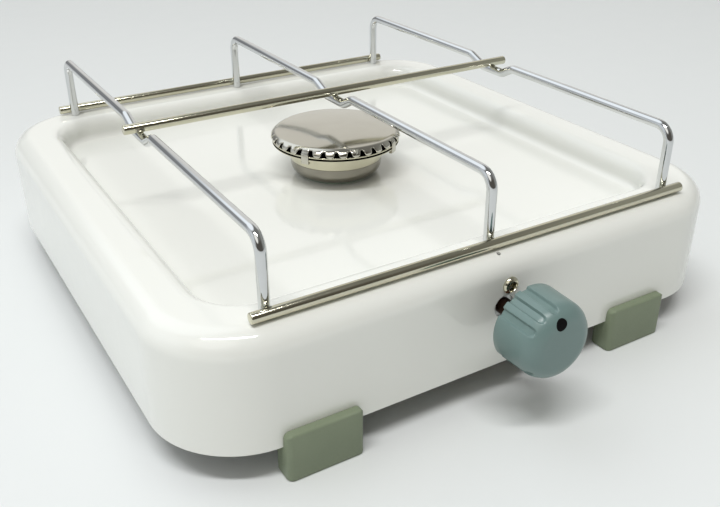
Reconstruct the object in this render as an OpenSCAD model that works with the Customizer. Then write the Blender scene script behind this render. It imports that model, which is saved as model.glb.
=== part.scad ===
// Single burner gas stove: enamelled casing, wire pan support, burner and tap.
// Millimetres. +X right, +Y to the back, +Z up. The origin is on the floor, under the middle.

/* [Casing] */
// Width of the casing over its side walls
casing_w = 312; // [296:1:340]
// Depth of the casing over its front and rear walls
casing_d = 307; // [296:1:340]
// Corner radius of the casing seen from above
corner_r = 43; // [38:1:50]
// Height of the walls from their bottom edge to the rim
wall_h = 56.5; // [52:0.5:64]
// Thickness of the enamelled sheet
sheet_t = 1; // [0.8:0.1:1.2]
// Radius of the rim's outer edge
edge_r = 11; // [8:0.5:12]
// Distance from the outer wall to the tray's wall
tray_inset = 28; // [26:1:32]
// Radius of the rim's inner lip
lip_r = 7; // [5:0.5:7]
// Depth of the tray below the rim
tray_depth = 13; // [12.5:0.5:15]
// Fillet between the tray's wall and its floor
tray_fillet = 4; // [3:0.5:5]
// Corner radius of the tray's wall seen from above
tray_corner_r = 22; // [16:1:28]
// Radius of the small hanging hole in the front rim
hanging_hole_r = 1; // [0.8:0.1:1.6]
// Distance of the hanging hole from the front wall
hanging_hole_in = 6.8; // [5:0.2:9]

/* [Feet] */
// Width of a foot
foot_w = 37; // [28:0.5:37]
// Height of a foot, up to the top of its front lip
foot_h = 24; // [22:0.5:28]
// Height of the wall's bottom edge above the floor
foot_lift = 16.5; // [14:0.5:18]
// Thickness of the lip in front of the wall
foot_lip = 4.7; // [3.5:0.1:6]
// Thickness of the lip behind the wall
foot_back = 7; // [4:0.5:8]
// How much lower the rear lip stands than the front lip
foot_back_drop = 2; // [1:0.5:3]
// Rounding of a foot's upright edges and upper corners
foot_round = 3; // [1.5:0.5:3]
// Rounding of a foot's upper front edge
foot_edge = 1.2; // [0.6:0.1:3]
// Distance of the left feet's middle from the casing's left side
foot_left_in = 60.5; // [60.5:0.5:76]
// Distance of the right feet's middle from the casing's right side
foot_right_in = 68.5; // [60.5:0.5:76]
// Play between the wall and the foot's slot, on each side
foot_play = 0.1; // [0.05:0.05:0.3]

/* [Pan support] */
// Diameter of the wires and rods
wire_d = 5; // [4:0.2:5.4]
// Height of the wires' tops above the rim
support_h = 37; // [34:0.5:48]
// Distance between neighbouring wires
wire_gap = 112; // [100:1:114]
// Length of the cross rods
rod_l = 241; // [234:1:256]
// Bend radius of a wire's middle line at the tops of its legs
leg_bend_r = 8; // [6:0.5:12]
// Distance from the middle rod to the front end of the dip under it
dip_front = 19; // [16:0.5:26]
// Length of the dip's front slope
dip_front_run = 9; // [8:0.5:12]
// Distance from the middle rod to the rear end of the dip under it
dip_rear = 21; // [18:0.5:28]
// Length of the dip's rear slope
dip_rear_run = 12; // [8:0.5:14]
// How far the welds sink one wire into the other
weld_sink = 0.3; // [0.2:0.05:0.5]
// Height of the end rods over the rim
rod_lift = 0.4; // [0.3:0.1:1]
// Distance from the rim's rounded edge to the side of a leg
leg_margin = 1; // [0.5:0.1:3]
// How far the support is lifted off
lift_travel = 60; // [20:5:100]

/* [Burner] */
// Radius of the cap's skirt
cap_r = 36.7; // [34:0.1:40]
// Height of the cap's straight skirt
cap_skirt_h = 0.8; // [0.6:0.1:1.2]
// Radius of the cap's upper edge
cap_edge_r = 3.8; // [3.4:0.1:4.2]
// Radius of the cap's shallow dome
cap_dome_r = 250; // [120:5:400]
// Number of places round the skirt, teeth and tabs together
cap_places = 32; // [24:4:36]
// Number of clip tabs among them
cap_tabs = 4; // [2:2:4]
// Turn of the first tab round the burner in degrees
cap_turn = 33; // [0:1:90]
// Width of the gap between two teeth at their tips
tooth_gap = 3.8; // [3:0.1:4]
// Width of that gap at its top
tooth_top = 1; // [0.6:0.1:1.4]
// Height of the gap between two teeth
tooth_h = 3.5; // [2.5:0.1:3.5]
// Width of a clip tab
tab_w = 4.2; // [3:0.1:4.4]
// Length of a clip tab below the top of the cup's flange
tab_l = 4.6; // [4:0.1:5]
// How far a tab's hook reaches under the flange
tab_hook = 2; // [1:0.1:3]
// Sheet thickness of cap and cup
burner_t = 0.8; // [0.6:0.1:0.9]
// How much smaller the cup's flange is than the cap
flange_in = 0.5; // [0.3:0.1:0.6]
// Radius of the cup's wall under the flange
cup_top_r = 27.4; // [27:0.1:29]
// Radius of the cup's wall at its step
cup_step_r = 26.6; // [26.4:0.1:27]
// Depth of the step in the cup's wall
cup_step_in = 0.4; // [0.2:0.1:0.6]
// Radius of the cup's foot
cup_foot_r = 26; // [24:0.1:26]
// Rounding of the cup's foot
cup_foot_round = 6.2; // [4:0.1:7]
// Height of the cup's step above its foot
cup_step_h = 9.5; // [8:0.5:11]
// Height of the cup from its foot to the top of its flange
cup_h = 20.6; // [19:0.2:22]
// Gap in the folded edge of the cup's flange
hem_gap = 1; // [0.6:0.1:1.1]
// Depth of that gap
hem_in = 2.5; // [1:0.1:3]
// Thickness of the folded edge under the gap
hem_t = 0.5; // [0.4:0.1:0.6]
// Thickness of the seal ring under the cup
seal_t = 1; // [0.6:0.1:1.5]
// Radius of the seal ring
seal_r = 20.4; // [19:0.1:22]

/* [Mixing tube] */
// Radius of the elbow's threaded neck
neck_r = 10; // [9:0.1:11]
// Bore radius of the elbow's neck
neck_bore_r = 7.5; // [6:0.1:7.6]
// Height of the neck above the nut
neck_over = 1.7; // [1:0.1:2.5]
// Radius of the elbow's flange under the tray
elbow_flange_r = 18; // [16:0.5:20]
// Thickness of the elbow's flange
elbow_flange_t = 2.5; // [2:0.1:2.8]
// Width over the flats of the burner nut
burner_nut_af = 26; // [25:0.5:28]
// Height of the burner nut
burner_nut_h = 5; // [4:0.5:6]
// Outer radius of the mixing tube
tube_r = 7.6; // [7:0.1:8]
// Wall thickness of the mixing tube
tube_wall = 0.75; // [0.6:0.05:1]
// How much narrower the mixing tube's throat is
throat_in = 1.8; // [1:0.1:2.4]
// Length of the mixing tube's taper into its throat
throat_l = 14; // [10:1:20]
// Length of the mixing tube's taper behind its throat
spread_l = 30; // [20:1:36]
// Length of the air windows
window_l = 18; // [12:1:22]
// Width of the air windows
window_w = 7; // [5:0.5:8]
// Length of the elbow's spigot in the tube
spigot_l = 16; // [12:1:20]

/* [Tap] */
// Depth of the tap's axis below the rim
tap_drop = 25; // [24.6:0.1:26.5]
// Radius of the spindle
spindle_r = 4; // [3.5:0.1:4.2]
// Height of the spindle's flat over its axis
spindle_flat = 2.6; // [2:0.1:3]
// Room round the spindle in the front wall
spindle_room = 1.6; // [1:0.1:2]
// Radius of the spindle's collar
collar_r = 5.5; // [5.2:0.1:5.7]
// Thickness of the spindle's collar
collar_t = 2; // [1.5:0.1:2.5]
// How far the knob is pushed before it turns
push_travel = 3; // [2:0.1:3.4]
// Turn from closed to the low flame in degrees
turn_range = 210; // [180:5:270]
// Thickness of the tap's cover plate
cover_t = 2; // [1.6:0.1:3]
// Length of the cover plate
cover_l = 26; // [25:0.5:30]
// Width of the cover plate
cover_w = 11.6; // [10.4:0.2:12]
// Wall of the tap's barrel round its chamber
barrel_wall = 2.3; // [1.8:0.1:2.6]
// Thickness of the barrel's front flange
barrel_flange_t = 6; // [5.5:0.5:7]
// Length of the chamber for collar and spring
chamber_l = 9; // [8.8:0.1:12]
// Room round the plug's wide end in that chamber
chamber_room = 0.2; // [0.1:0.1:0.4]
// Radius of the plug at its wide end
plug_r1 = 6; // [5.8:0.05:6]
// Radius of the plug at its narrow end
plug_r2 = 5; // [4.6:0.05:5.2]
// Length of the plug
plug_l = 16; // [15:0.5:18]
// Distance of the plug's gas port from its narrow end
port_in = 5; // [4.5:0.1:5.5]
// Radius of the plug's gas port
port_r = 1.6; // [1.2:0.1:1.8]
// Radius of the plug's port for the low flame
low_port_r = 0.6; // [0.4:0.1:0.8]
// Wall left behind the plug, round the jet's thread
barrel_end = 5; // [5:0.5:7]
// Width of the spindle's tongue
tongue_w = 3; // [2.4:0.1:3.4]
// Length of the spindle's tongue past the front of the plug
tongue_l = 3; // [2.5:0.1:3.5]
// Wire diameter of the spindle's spring
spring_d = 0.7; // [0.5:0.05:0.8]
// Number of turns of the spindle's spring
spring_turns = 4; // [3:1:4]
// Height of the fixing screw above the tap's axis
screw_up = 10.4; // [10.2:0.1:10.6]
// Distance of the fixing screw to the right of the tap's axis
screw_x = 2.5; // [0:0.1:3]
// Radius of the fixing screw's head
screw_head_r = 3.8; // [3:0.1:4]
// Height of the fixing screw's head
screw_head_h = 2.2; // [2:0.1:3]
// Radius of the fixing screw's thread
screw_r = 2; // [1.5:0.1:2]
// Radius of the two screws in the cover plate
cover_screw_r = 1.5; // [1.2:0.1:1.5]
// Length of those screws below their heads
cover_screw_l = 4.5; // [3.5:0.1:4.8]
// Radius of those screws' countersunk heads
cover_screw_head_r = 2.6; // [2.2:0.1:2.8]
// Height of those screws' heads
cover_screw_head_h = 1.6; // [1.2:0.1:1.6]

/* [Jet] */
// Radius of the jet's thread
jet_thread_r = 3; // [2.6:0.1:3.4]
// Width over the flats of the jet's hexagon
jet_af = 11; // [10:0.5:12]
// Length of the jet's hexagon
jet_hex_l = 5; // [4:0.5:6]
// Length of the collar that carries the mixing tube
jet_collar_l = 4; // [3:0.5:5]
// Length of the jet's tapered tip
jet_tip_l = 7; // [5:0.5:9]
// Radius of the jet's hole
jet_hole_r = 0.3; // [0.2:0.05:0.5]

/* [Knob] */
// Radius of the knob
knob_r = 18.8; // [17:0.1:21]
// Length of the knob
knob_l = 24; // [22:0.5:30]
// Distance from the front wall to the knob's back
knob_off = 15; // [12:0.5:18]
// Rounding of the knob's front edge
knob_round = 8.4; // [5:0.1:9]
// Rise of the knob's slightly domed front
knob_dome = 0.8; // [0.4:0.1:1.5]
// How much slimmer the knob is at its front
knob_taper = 0.4; // [0:0.1:1]
// Wall thickness of the knob
knob_wall = 2.6; // [2.2:0.1:3]
// Radius of the knob's hub
hub_r = 7; // [6.4:0.1:8]
// Number of groove groups round the knob
groove_groups = 3; // [2:1:4]
// Number of grooves in a group
grooves = 3; // [2:1:4]
// Angle between neighbouring grooves in degrees
groove_step = 22.4; // [16:0.1:24]
// Radius of a groove's cutter
groove_r = 2.2; // [1.8:0.1:2.4]
// Depth of a groove
groove_in = 1.6; // [0.8:0.1:1.7]
// Distance from the knob's front to the grooves' ends
groove_end = 3; // [2.5:0.5:6]
// Turn of the pointer dot from the top in degrees, at rest
dot_turn = 10.8; // [0:0.1:30]
// Distance of the pointer dot from the knob's axis
dot_off = 12; // [10:0.1:13]
// Radius of the pointer dot
dot_r = 2.8; // [1.5:0.1:3]
// Depth of the pointer dot's hole
dot_in = 4; // [3:0.1:4.4]

/* [Gas inlet] */
// Outer radius of the gas pipe
pipe_r = 3; // [2.5:0.1:3.2]
// Bore radius of the gas pipe
pipe_bore_r = 2; // [1.5:0.1:2.2]
// Bend radius of the gas pipe's middle line
pipe_bend_r = 14; // [10:1:20]
// Place of the pipe and of the hose nozzle, from the middle
inlet_x = 96; // [80:1:100]
// Radius of the threaded bosses that take the pipe
boss_r = 5.5; // [5:0.1:6]
// Reach of the tap's inlet boss from its axis
boss_l = 19; // [18:0.5:24]
// Width over the flats of the pipe nuts
pipe_nut_af = 14; // [13:0.5:16]
// Length of a pipe nut
pipe_nut_l = 11; // [10:0.5:13]
// Wall at the end of a pipe nut
pipe_nut_end = 4; // [3:0.5:5]
// Depth of the pipe's seat in a boss
pipe_seat = 3; // [2:0.5:4]
// Outer radius of the rings that grip the pipe in its nuts
olive_r = 4.8; // [4.6:0.1:5]
// Radius of the hose nozzle's stem
stem_r = 4.5; // [4:0.1:5]
// Length of the hose nozzle's stem
stem_l = 31; // [24:0.5:36]
// Number of holding grooves round the stem
stem_grooves = 3; // [2:1:4]
// Width over the flats of the nozzle's hexagon
nozzle_af = 17; // [15:0.5:19]
// Thickness of the nozzle's hexagon
nozzle_hex_t = 7; // [5:0.5:9]
// Length of the nozzle's threaded part inside the rear wall
nozzle_in_l = 16; // [15:0.5:20]
// Thickness of the nozzle's locknut
locknut_t = 4; // [3:0.5:5]
// Thickness of the nozzle's washer
washer_t = 1; // [0.8:0.1:1.5]

/* [Clearances] */
// Radial play of turning and sliding fits
run_play = 0.05; // [0.02:0.01:0.08]
// Radial play of threads and of parts that are only put together
seat_play = 0.1; // [0.05:0.05:0.2]
// Radial play of holes in sheet metal
hole_play = 0.3; // [0.2:0.05:0.5]

/* [Hidden] */
$fn = 64;
eps = 0.01;

// Heights
rim_z = foot_lift + wall_h;
tray_z = rim_z - tray_depth;
tray_under = tray_z - sheet_t;
tap_z = rim_z - tap_drop;

// Feet
foot_left_x = casing_w / 2 - foot_left_in;
foot_right_x = casing_w / 2 - foot_right_in;

// Pan support
leg_y = casing_d / 2 - edge_r - leg_margin - wire_d / 2;
wire_z = rim_z + support_h - wire_d / 2;
rod_z = rim_z + rod_lift + wire_d / 2;
weld_step = wire_d - weld_sink;
rod_y = leg_y + weld_step;
knuckle_r = wire_d / 2 + 0.12;
knuckle_in = 0.7;

// Burner
seal_z = tray_z + seal_t;
flange_z = seal_z + cup_h;
flange_r = cap_r - flange_in;
hem_h = burner_t + hem_gap + hem_t;
cap_edge_z = flange_z + cap_skirt_h;
dome_angle = asin((cap_r - cap_edge_r) / (cap_dome_r - cap_edge_r));
dome_z = cap_edge_z - (cap_dome_r - cap_edge_r) * cos(dome_angle);
nut_z = seal_z + burner_t;
neck_z = nut_z + burner_nut_h + neck_over;
neck_hole_r = neck_r + hole_play;

// Tap, from the front wall inwards
wall_y = -casing_d / 2;
cover_y = wall_y + sheet_t;
barrel_y = cover_y + cover_t;
plug_y = barrel_y + chamber_l;
plug_end_y = plug_y + plug_l;
barrel_end_y = plug_end_y + barrel_end;
collar_y = barrel_y + run_play;
spring_y = collar_y + collar_t;
cover_screw_x = cover_l / 2 - 3.5;
chamber_r = plug_r1 + chamber_room;
barrel_r = chamber_r + barrel_wall;
spindle_hole_r = spindle_r + spindle_room;
valve_screw_l = 9;
port_y = plug_end_y - port_in;
slot_l = tongue_l + push_travel + 0.5;
ear_t = 5;
screw_z = tap_z + screw_up;

// Mixing tube
tube_bore_r = tube_r - tube_wall;
tube_y0 = barrel_end_y + jet_hex_l;
tube_y1 = -neck_r - hole_play;
window_y = tube_y0 + jet_collar_l + 3;
window_count = 4;

// Knob
knob_y = wall_y - knob_off;
knob_front_y = knob_y - knob_l;
knob_front_r = knob_r - knob_taper;
knob_floor = knob_wall + knob_round * 0.4;
spindle_front_y = knob_front_y + knob_floor + 1;
hub_bore_l = knob_l - knob_floor;
dome_ball_r = (knob_front_r * knob_front_r + knob_dome * knob_dome) / (2 * knob_dome);

// Gas inlet
nut_reach = pipe_nut_l - pipe_nut_end - 1;
rear_y = casing_d / 2;
nozzle_in_y = rear_y - sheet_t - nozzle_in_l;
thread_hole_r = boss_r + hole_play;
washer_r = nozzle_af / 2;
stem_groove_in = 0.5;
stem_groove_l = 1.6;

white = [0.93, 0.92, 0.88];
steel = [0.74, 0.74, 0.72];
chrome = [0.82, 0.84, 0.86];
brass = [0.78, 0.62, 0.32];
alloy = [0.7, 0.71, 0.73];
copper = [0.75, 0.48, 0.33];
teal = [0.45, 0.57, 0.56];
sage = [0.43, 0.5, 0.41];
black = [0.04, 0.04, 0.04];

// Sweeps the profile in its X-Z half plane along a rounded rectangle. X is counted from the corner's centre.
module swept(w, d, r) {
    for (sx = [-1, 1], sy = [-1, 1])
        translate([sx * (w / 2 - r), sy * (d / 2 - r), 0])
            rotate(sx > 0 ? (sy > 0 ? 0 : -90) : (sy > 0 ? 90 : 180))
                rotate_extrude(angle = 90) children();
    for (k = [0 : 3]) {
        across = k % 2 == 0 ? w : d;
        along = k % 2 == 0 ? d : w;
        rotate(90 * k)
            translate([across / 2 - r, along / 2 - r, 0])
                rotate([90, 0, 0])
                    linear_extrude(along - 2 * r) children();
    }
}

// A flat plate with round corners, standing on z = 0.
module rounded_plate(w, d, r, t) {
    swept(w, d, r) square([r, t]);
    translate([r - w / 2, r - d / 2, 0]) cube([w - 2 * r, d - 2 * r, t]);
}

// A quarter of a ring, in the quadrant that sx and sy name.
module quarter_ring(r_out, r_in, sx, sy) {
    intersection() {
        difference() {
            circle(r_out);
            circle(r_in);
        }
        translate([sx > 0 ? 0 : -r_out, sy > 0 ? 0 : -r_out]) square(r_out);
    }
}

// A quarter of a disc, in the quadrant that sx and sy name.
module quarter_disc(r, sx, sy) {
    intersection() {
        circle(r);
        translate([sx > 0 ? 0 : -r, sy > 0 ? 0 : -r]) square(r);
    }
}

// Points of a round stretch about the centre c, in n steps from angle a to angle b.
function round_points(c, r, a, b, n) = [
    for (i = [0 : n])
        let (t = a + (b - a) * i / n)
            [c[0] + r * cos(t), c[1] + r * sin(t)]
];

// Stands a shape made along +Z on the point p, with its axis along +Y.
module along_y(p) {
    translate(p) rotate([-90, 0, 0]) children();
}

// Stands a shape made along +Z on the point p, with its axis along +X.
module along_x(p) {
    translate(p) rotate([0, 90, 0]) children();
}

// A hexagonal prism along +Z, by its width over the flats.
module hexagon(af, h) {
    cylinder(r = af / (2 * cos(30)), h = h, $fn = 6);
}

// Casing: walls, rim, tray and its holes in one pressed sheet.
module wall_profile() {
    translate([corner_r - sheet_t, foot_lift]) square([sheet_t, wall_h - edge_r]);
    translate([corner_r - edge_r, rim_z - edge_r]) quarter_ring(edge_r, edge_r - sheet_t, 1, 1);
}

module tray_profile() {
    translate([tray_corner_r + lip_r, rim_z - lip_r]) quarter_ring(lip_r, lip_r - sheet_t, -1, 1);
    translate([tray_corner_r, tray_z + tray_fillet])
        square([sheet_t, tray_depth - tray_fillet - lip_r]);
    translate([tray_corner_r - tray_fillet, tray_z + tray_fillet])
        quarter_ring(tray_fillet + sheet_t, tray_fillet, 1, -1);
}

module rim_plate() {
    flat_in = 2 * (tray_inset - lip_r);
    translate([0, 0, rim_z - sheet_t])
        difference() {
            rounded_plate(casing_w - 2 * edge_r, casing_d - 2 * edge_r, corner_r - edge_r, sheet_t);
            translate([0, 0, -1])
                rounded_plate(casing_w - flat_in, casing_d - flat_in, tray_corner_r + lip_r, sheet_t + 2);
        }
}

module tray_floor() {
    floor_in = 2 * (tray_inset + tray_fillet);
    translate([0, 0, tray_under])
        rounded_plate(casing_w - floor_in, casing_d - floor_in, tray_corner_r - tray_fillet, sheet_t);
}

module casing() {
    color(white)
        difference() {
            union() {
                swept(casing_w, casing_d, corner_r) wall_profile();
                swept(casing_w - 2 * tray_inset, casing_d - 2 * tray_inset, tray_corner_r) tray_profile();
                rim_plate();
                tray_floor();
            }
            translate([0, 0, tray_under - 1]) cylinder(r = neck_hole_r, h = sheet_t + 2);
            along_y([0, wall_y - 1, tap_z]) cylinder(r = spindle_hole_r, h = sheet_t + 2);
            along_y([screw_x, wall_y - 1, screw_z]) cylinder(r = screw_r + hole_play, h = sheet_t + 2);
            translate([0, wall_y + hanging_hole_in, rim_z - edge_r])
                cylinder(r = hanging_hole_r, h = edge_r + 1);
            along_y([inlet_x, rear_y - sheet_t - 1, tap_z]) cylinder(r = thread_hole_r, h = sheet_t + 2);
        }
}

// Foot: a moulded block with a slot for the wall's edge. The wall's outer face is at y = 0.
module foot_block() {
    depth = foot_lip + sheet_t + 2 * foot_play + foot_back;
    low_h = foot_h - foot_round;
    half_w = foot_w / 2 - foot_round;
    intersection() {
        translate([0, depth / 2 - foot_lip, 0]) rounded_plate(foot_w, depth, foot_round, foot_h);
        along_x([-foot_w / 2, 0, 0])
            linear_extrude(foot_w) {
                translate([foot_edge - foot_h, -foot_lip]) square([foot_h - foot_edge, depth]);
                translate([-foot_h, foot_edge - foot_lip]) square([foot_h, depth - foot_edge]);
                translate([foot_edge - foot_h, foot_edge - foot_lip]) quarter_disc(foot_edge, -1, -1);
            }
        translate([0, depth, 0])
            rotate([90, 0, 0])
                linear_extrude(2 * depth) {
                    translate([-foot_w / 2, 0]) square([foot_w, low_h]);
                    translate([-half_w, 0]) square([2 * half_w, foot_h]);
                    translate([-half_w, low_h]) quarter_disc(foot_round, -1, 1);
                    translate([half_w, low_h]) quarter_disc(foot_round, 1, 1);
                }
    }
}

module foot() {
    slot = sheet_t + 2 * foot_play;
    difference() {
        foot_block();
        translate([-foot_w / 2 - 1, -foot_play, foot_lift]) cube([foot_w + 2, slot, foot_h]);
        translate([-foot_w / 2 - 1, 0, foot_h - foot_back_drop])
            cube([foot_w + 2, slot + foot_back + 1, foot_h]);
    }
}

module placed_foot(x, rear) {
    color(sage) rotate(rear ? 180 : 0) translate([rear ? -x : x, wall_y, 0]) foot();
}

module front_left_foot() { placed_foot(-foot_left_x, false); }
module front_right_foot() { placed_foot(foot_right_x, false); }
module rear_left_foot() { placed_foot(-foot_left_x, true); }
module rear_right_foot() { placed_foot(foot_right_x, true); }

// Pan support: three bent wires with a dip, and three straight rods welded across them.
// Half of a wire: leg, round bend, straight top and the slope into the dip. s is -1 in front, 1 at the back.
module wire_half(s, dip, run) {
    bend_y = leg_y - leg_bend_r;
    top_l = bend_y - dip - knuckle_in;
    slope_l = sqrt(run * run + weld_step * weld_step);
    translate([0, s * leg_y, rim_z]) cylinder(d = wire_d, h = wire_z - leg_bend_r - rim_z);
    translate([0, s * bend_y, wire_z - leg_bend_r])
        rotate([90, 0, s * 90])
            rotate_extrude(angle = 90) translate([leg_bend_r, 0]) circle(d = wire_d);
    along_y([0, s > 0 ? bend_y - top_l : -bend_y, wire_z]) cylinder(d = wire_d, h = top_l);
    translate([0, s * dip, wire_z]) sphere(knuckle_r);
    translate([0, s * (dip - run), wire_z - weld_step]) {
        sphere(knuckle_r);
        rotate([-s * atan2(run, weld_step), 0, 0])
            translate([0, 0, knuckle_in]) cylinder(d = wire_d, h = slope_l - 2 * knuckle_in);
    }
}

module grid_wire(x) {
    flat_y = dip_front_run - dip_front + knuckle_in;
    flat_l = dip_front - dip_front_run + dip_rear - dip_rear_run - 2 * knuckle_in;
    color(chrome)
        translate([x, 0, 0]) {
            wire_half(-1, dip_front, dip_front_run);
            wire_half(1, dip_rear, dip_rear_run);
            along_y([0, flat_y, wire_z - weld_step]) cylinder(d = wire_d, h = flat_l);
        }
}

module grid_rod(y, z) {
    color(chrome) along_x([-rod_l / 2, y, z]) cylinder(d = wire_d, h = rod_l);
}

module grid_wire_left() { grid_wire(-wire_gap); }
module grid_wire_middle() { grid_wire(0); }
module grid_wire_right() { grid_wire(wire_gap); }
module grid_rod_front() { grid_rod(-rod_y, rod_z); }
module grid_rod_middle() { grid_rod(0, wire_z); }
module grid_rod_rear() { grid_rod(rod_y, rod_z); }

// Burner cap: a shallow dome whose skirt is cut into teeth, with clip tabs bent under the cup's flange.
function cap_curve(inset, n) = concat(
    round_points([0, dome_z], cap_dome_r - inset, 90, 90 - dome_angle, n),
    round_points([cap_r - cap_edge_r, cap_edge_z], cap_edge_r - inset, 90 - dome_angle, 0, 5),
    [[cap_r - inset, flange_z]]
);

module cap_shell() {
    outside = cap_curve(0, 8);
    inside = cap_curve(burner_t, 8);
    last = len(inside) - 1;
    rotate_extrude() polygon(concat(outside, [for (i = [0 : last]) inside[last - i]]));
}

module tooth_cut() {
    start = cap_r - cap_edge_r + 0.2;
    translate([start, 0, flange_z])
        rotate([90, 0, 90])
            linear_extrude(cap_r + 1 - start)
                polygon([
                    [-tooth_gap / 2, -1], [tooth_gap / 2, -1], [tooth_gap / 2, 0],
                    [tooth_top / 2, tooth_h], [-tooth_top / 2, tooth_h], [-tooth_gap / 2, 0]
                ]);
}

module clip_tab() {
    inside = flange_r + hole_play;
    translate([inside, -tab_w / 2, flange_z - tab_l]) cube([burner_t, tab_w, tab_l + cap_skirt_h]);
    translate([inside - tab_hook, -tab_w / 2, flange_z - tab_l])
        cube([tab_hook + burner_t / 2, tab_w, burner_t]);
}

module burner_cap() {
    step = 360 / cap_places;
    color(steel)
        rotate(cap_turn) {
            difference() {
                cap_shell();
                for (i = [0 : cap_places - 1])
                    rotate((i + 0.5) * step) tooth_cut();
            }
            for (i = [0 : cap_tabs - 1])
                rotate(i * 360 / cap_tabs) clip_tab();
        }
}

// Burner cup: a spun cup with a stepped wall and a wide flange whose edge is folded back.
module burner_cup() {
    step_z = seal_z + cup_step_h;
    low_r = cup_step_r - cup_step_in;
    foot_c = [cup_foot_r - cup_foot_round, seal_z + cup_foot_round];
    color(steel)
        rotate_extrude()
            polygon(concat(
                [[neck_hole_r, seal_z]],
                round_points(foot_c, cup_foot_round, -90, 0, 4),
                [
                    [low_r, step_z - cup_step_in], [cup_step_r, step_z],
                    [cup_top_r, flange_z - hem_h], [flange_r, flange_z - hem_h],
                    [flange_r, flange_z - hem_h + hem_t], [flange_r - hem_in, flange_z - hem_h + hem_t],
                    [flange_r - hem_in, flange_z - burner_t], [flange_r, flange_z - burner_t],
                    [flange_r, flange_z], [cup_top_r - burner_t, flange_z],
                    [cup_step_r - burner_t, step_z], [low_r - burner_t, step_z - cup_step_in]
                ],
                round_points(foot_c, cup_foot_round - burner_t, 0, -90, 4),
                [[neck_hole_r, seal_z + burner_t]]
            ));
}

module burner_seal() {
    color([0.36, 0.44, 0.36])
        translate([0, 0, tray_z])
            difference() {
                cylinder(r = seal_r, h = seal_t);
                translate([0, 0, -1]) cylinder(r = neck_hole_r, h = seal_t + 2);
            }
}

module burner_nut() {
    color(brass)
        translate([0, 0, nut_z])
            difference() {
                hexagon(burner_nut_af, burner_nut_h);
                translate([0, 0, -1]) cylinder(r = neck_r + seat_play, h = burner_nut_h + 2);
            }
}

// Elbow: turns the mixture up into the burner, and clamps the tray between its flange and the nut.
module burner_elbow() {
    bottom_z = tap_z - tube_r - 2;
    color(alloy)
        difference() {
            union() {
                translate([0, 0, bottom_z]) cylinder(r = neck_r, h = neck_z - bottom_z);
                translate([0, 0, tray_under - elbow_flange_t])
                    cylinder(r = elbow_flange_r, h = elbow_flange_t);
                along_y([0, tube_y1 - spigot_l, tap_z])
                    cylinder(r = tube_bore_r - seat_play, h = spigot_l - tube_y1);
            }
            translate([0, 0, bottom_z + 2]) cylinder(r = neck_bore_r, h = neck_z);
            along_y([0, tube_y1 - spigot_l - 1, tap_z])
                cylinder(r = tube_bore_r - seat_play - 1.4, h = spigot_l + 1 - tube_y1);
        }
}

// Mixing tube: a plain tube with a narrowed throat and air windows round the jet.
module mixing_tube() {
    front_y = window_y + window_l + 3;
    throat_y = front_y + throat_l;
    wide_y = throat_y + spread_l;
    radii = [
        [tube_y0, tube_r], [front_y, tube_r], [throat_y, tube_r - throat_in],
        [wide_y, tube_r], [tube_y1, tube_r]
    ];
    color(alloy)
        difference() {
            along_y([0, 0, tap_z])
                rotate_extrude()
                    polygon(concat(
                        [for (p = radii) [p[1], p[0]]],
                        [for (i = [len(radii) - 1 : -1 : 0]) [radii[i][1] - tube_wall, radii[i][0]]]
                    ));
            for (i = [0 : window_count - 1])
                along_y([0, window_y, tap_z])
                    rotate(45 + i * 360 / window_count)
                        translate([0, -window_w / 2, 0]) cube([tube_r + 1, window_w, window_l]);
        }
}

// Jet: screwed into the end of the tap, with a collar that carries the mixing tube.
module injector() {
    collar_y0 = barrel_end_y + jet_hex_l;
    tip_y = collar_y0 + jet_collar_l;
    color(brass)
        difference() {
            union() {
                along_y([0, barrel_end_y - barrel_end + 1, tap_z])
                    cylinder(r = jet_thread_r, h = barrel_end - 1);
                along_y([0, barrel_end_y, tap_z]) hexagon(jet_af, jet_hex_l);
                along_y([0, collar_y0, tap_z]) cylinder(r = tube_bore_r - seat_play, h = jet_collar_l);
                along_y([0, tip_y, tap_z]) cylinder(r1 = jet_thread_r + 0.6, r2 = 1.6, h = jet_tip_l);
            }
            along_y([0, barrel_end_y - barrel_end, tap_z])
                cylinder(r = port_r, h = barrel_end + jet_hex_l + jet_collar_l + jet_tip_l - 3);
            along_y([0, tip_y, tap_z]) cylinder(r = jet_hole_r, h = jet_tip_l + 1);
        }
}

// Tap body: flange, barrel with a tapered seat, a boss for the gas pipe and an ear for the fixing screw.
module cover_outline() {
    intersection() {
        square([cover_l, cover_w], center = true);
        circle(cover_l / 2);
    }
}

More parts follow.
